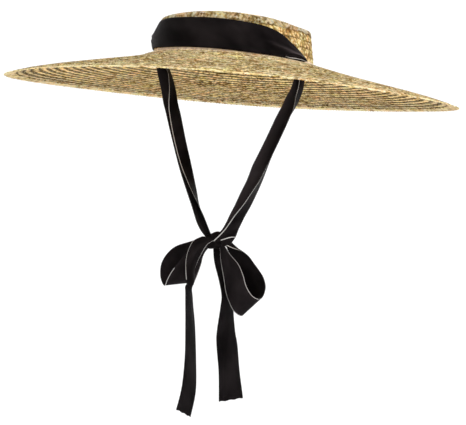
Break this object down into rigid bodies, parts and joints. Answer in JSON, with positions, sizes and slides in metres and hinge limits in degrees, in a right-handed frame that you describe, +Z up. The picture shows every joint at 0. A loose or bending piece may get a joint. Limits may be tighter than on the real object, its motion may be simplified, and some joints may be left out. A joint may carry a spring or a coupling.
{
  "type": "wide brim straw hat with ribbon ties",
  "caption": "Flat-topped straw hat with a shallow crown and a very wide brim that slopes gently down, with a ribbon round the front of the crown that ties below in a bow.",
  "frame": {"origin": "middle of the head opening, on the plane where the crown meets the brim, where a head holds the hat", "axes": "+Z up along the hat's axis, -Y towards the front of the hat, where the ribbon lies, +X to the right of someone looking at the front"},
  "size_m": [0.48, 0.487, 0.4202],
  "materials": {
    "straw": "natural braided wheat straw, slightly glossy",
    "ribbon": "black satin with a fine pale woven edge"
  },
  "bodies": {
    "root": {"crown": "straw", "brim": "straw", "hat_band": "ribbon", "tie_left": "ribbon", "tie_right": "ribbon", "bow_knot": "ribbon", "bow_loop_left": "ribbon", "bow_loop_right": "ribbon", "tail_left": "ribbon", "tail_right": "ribbon"}
  },
  "joints": []
}
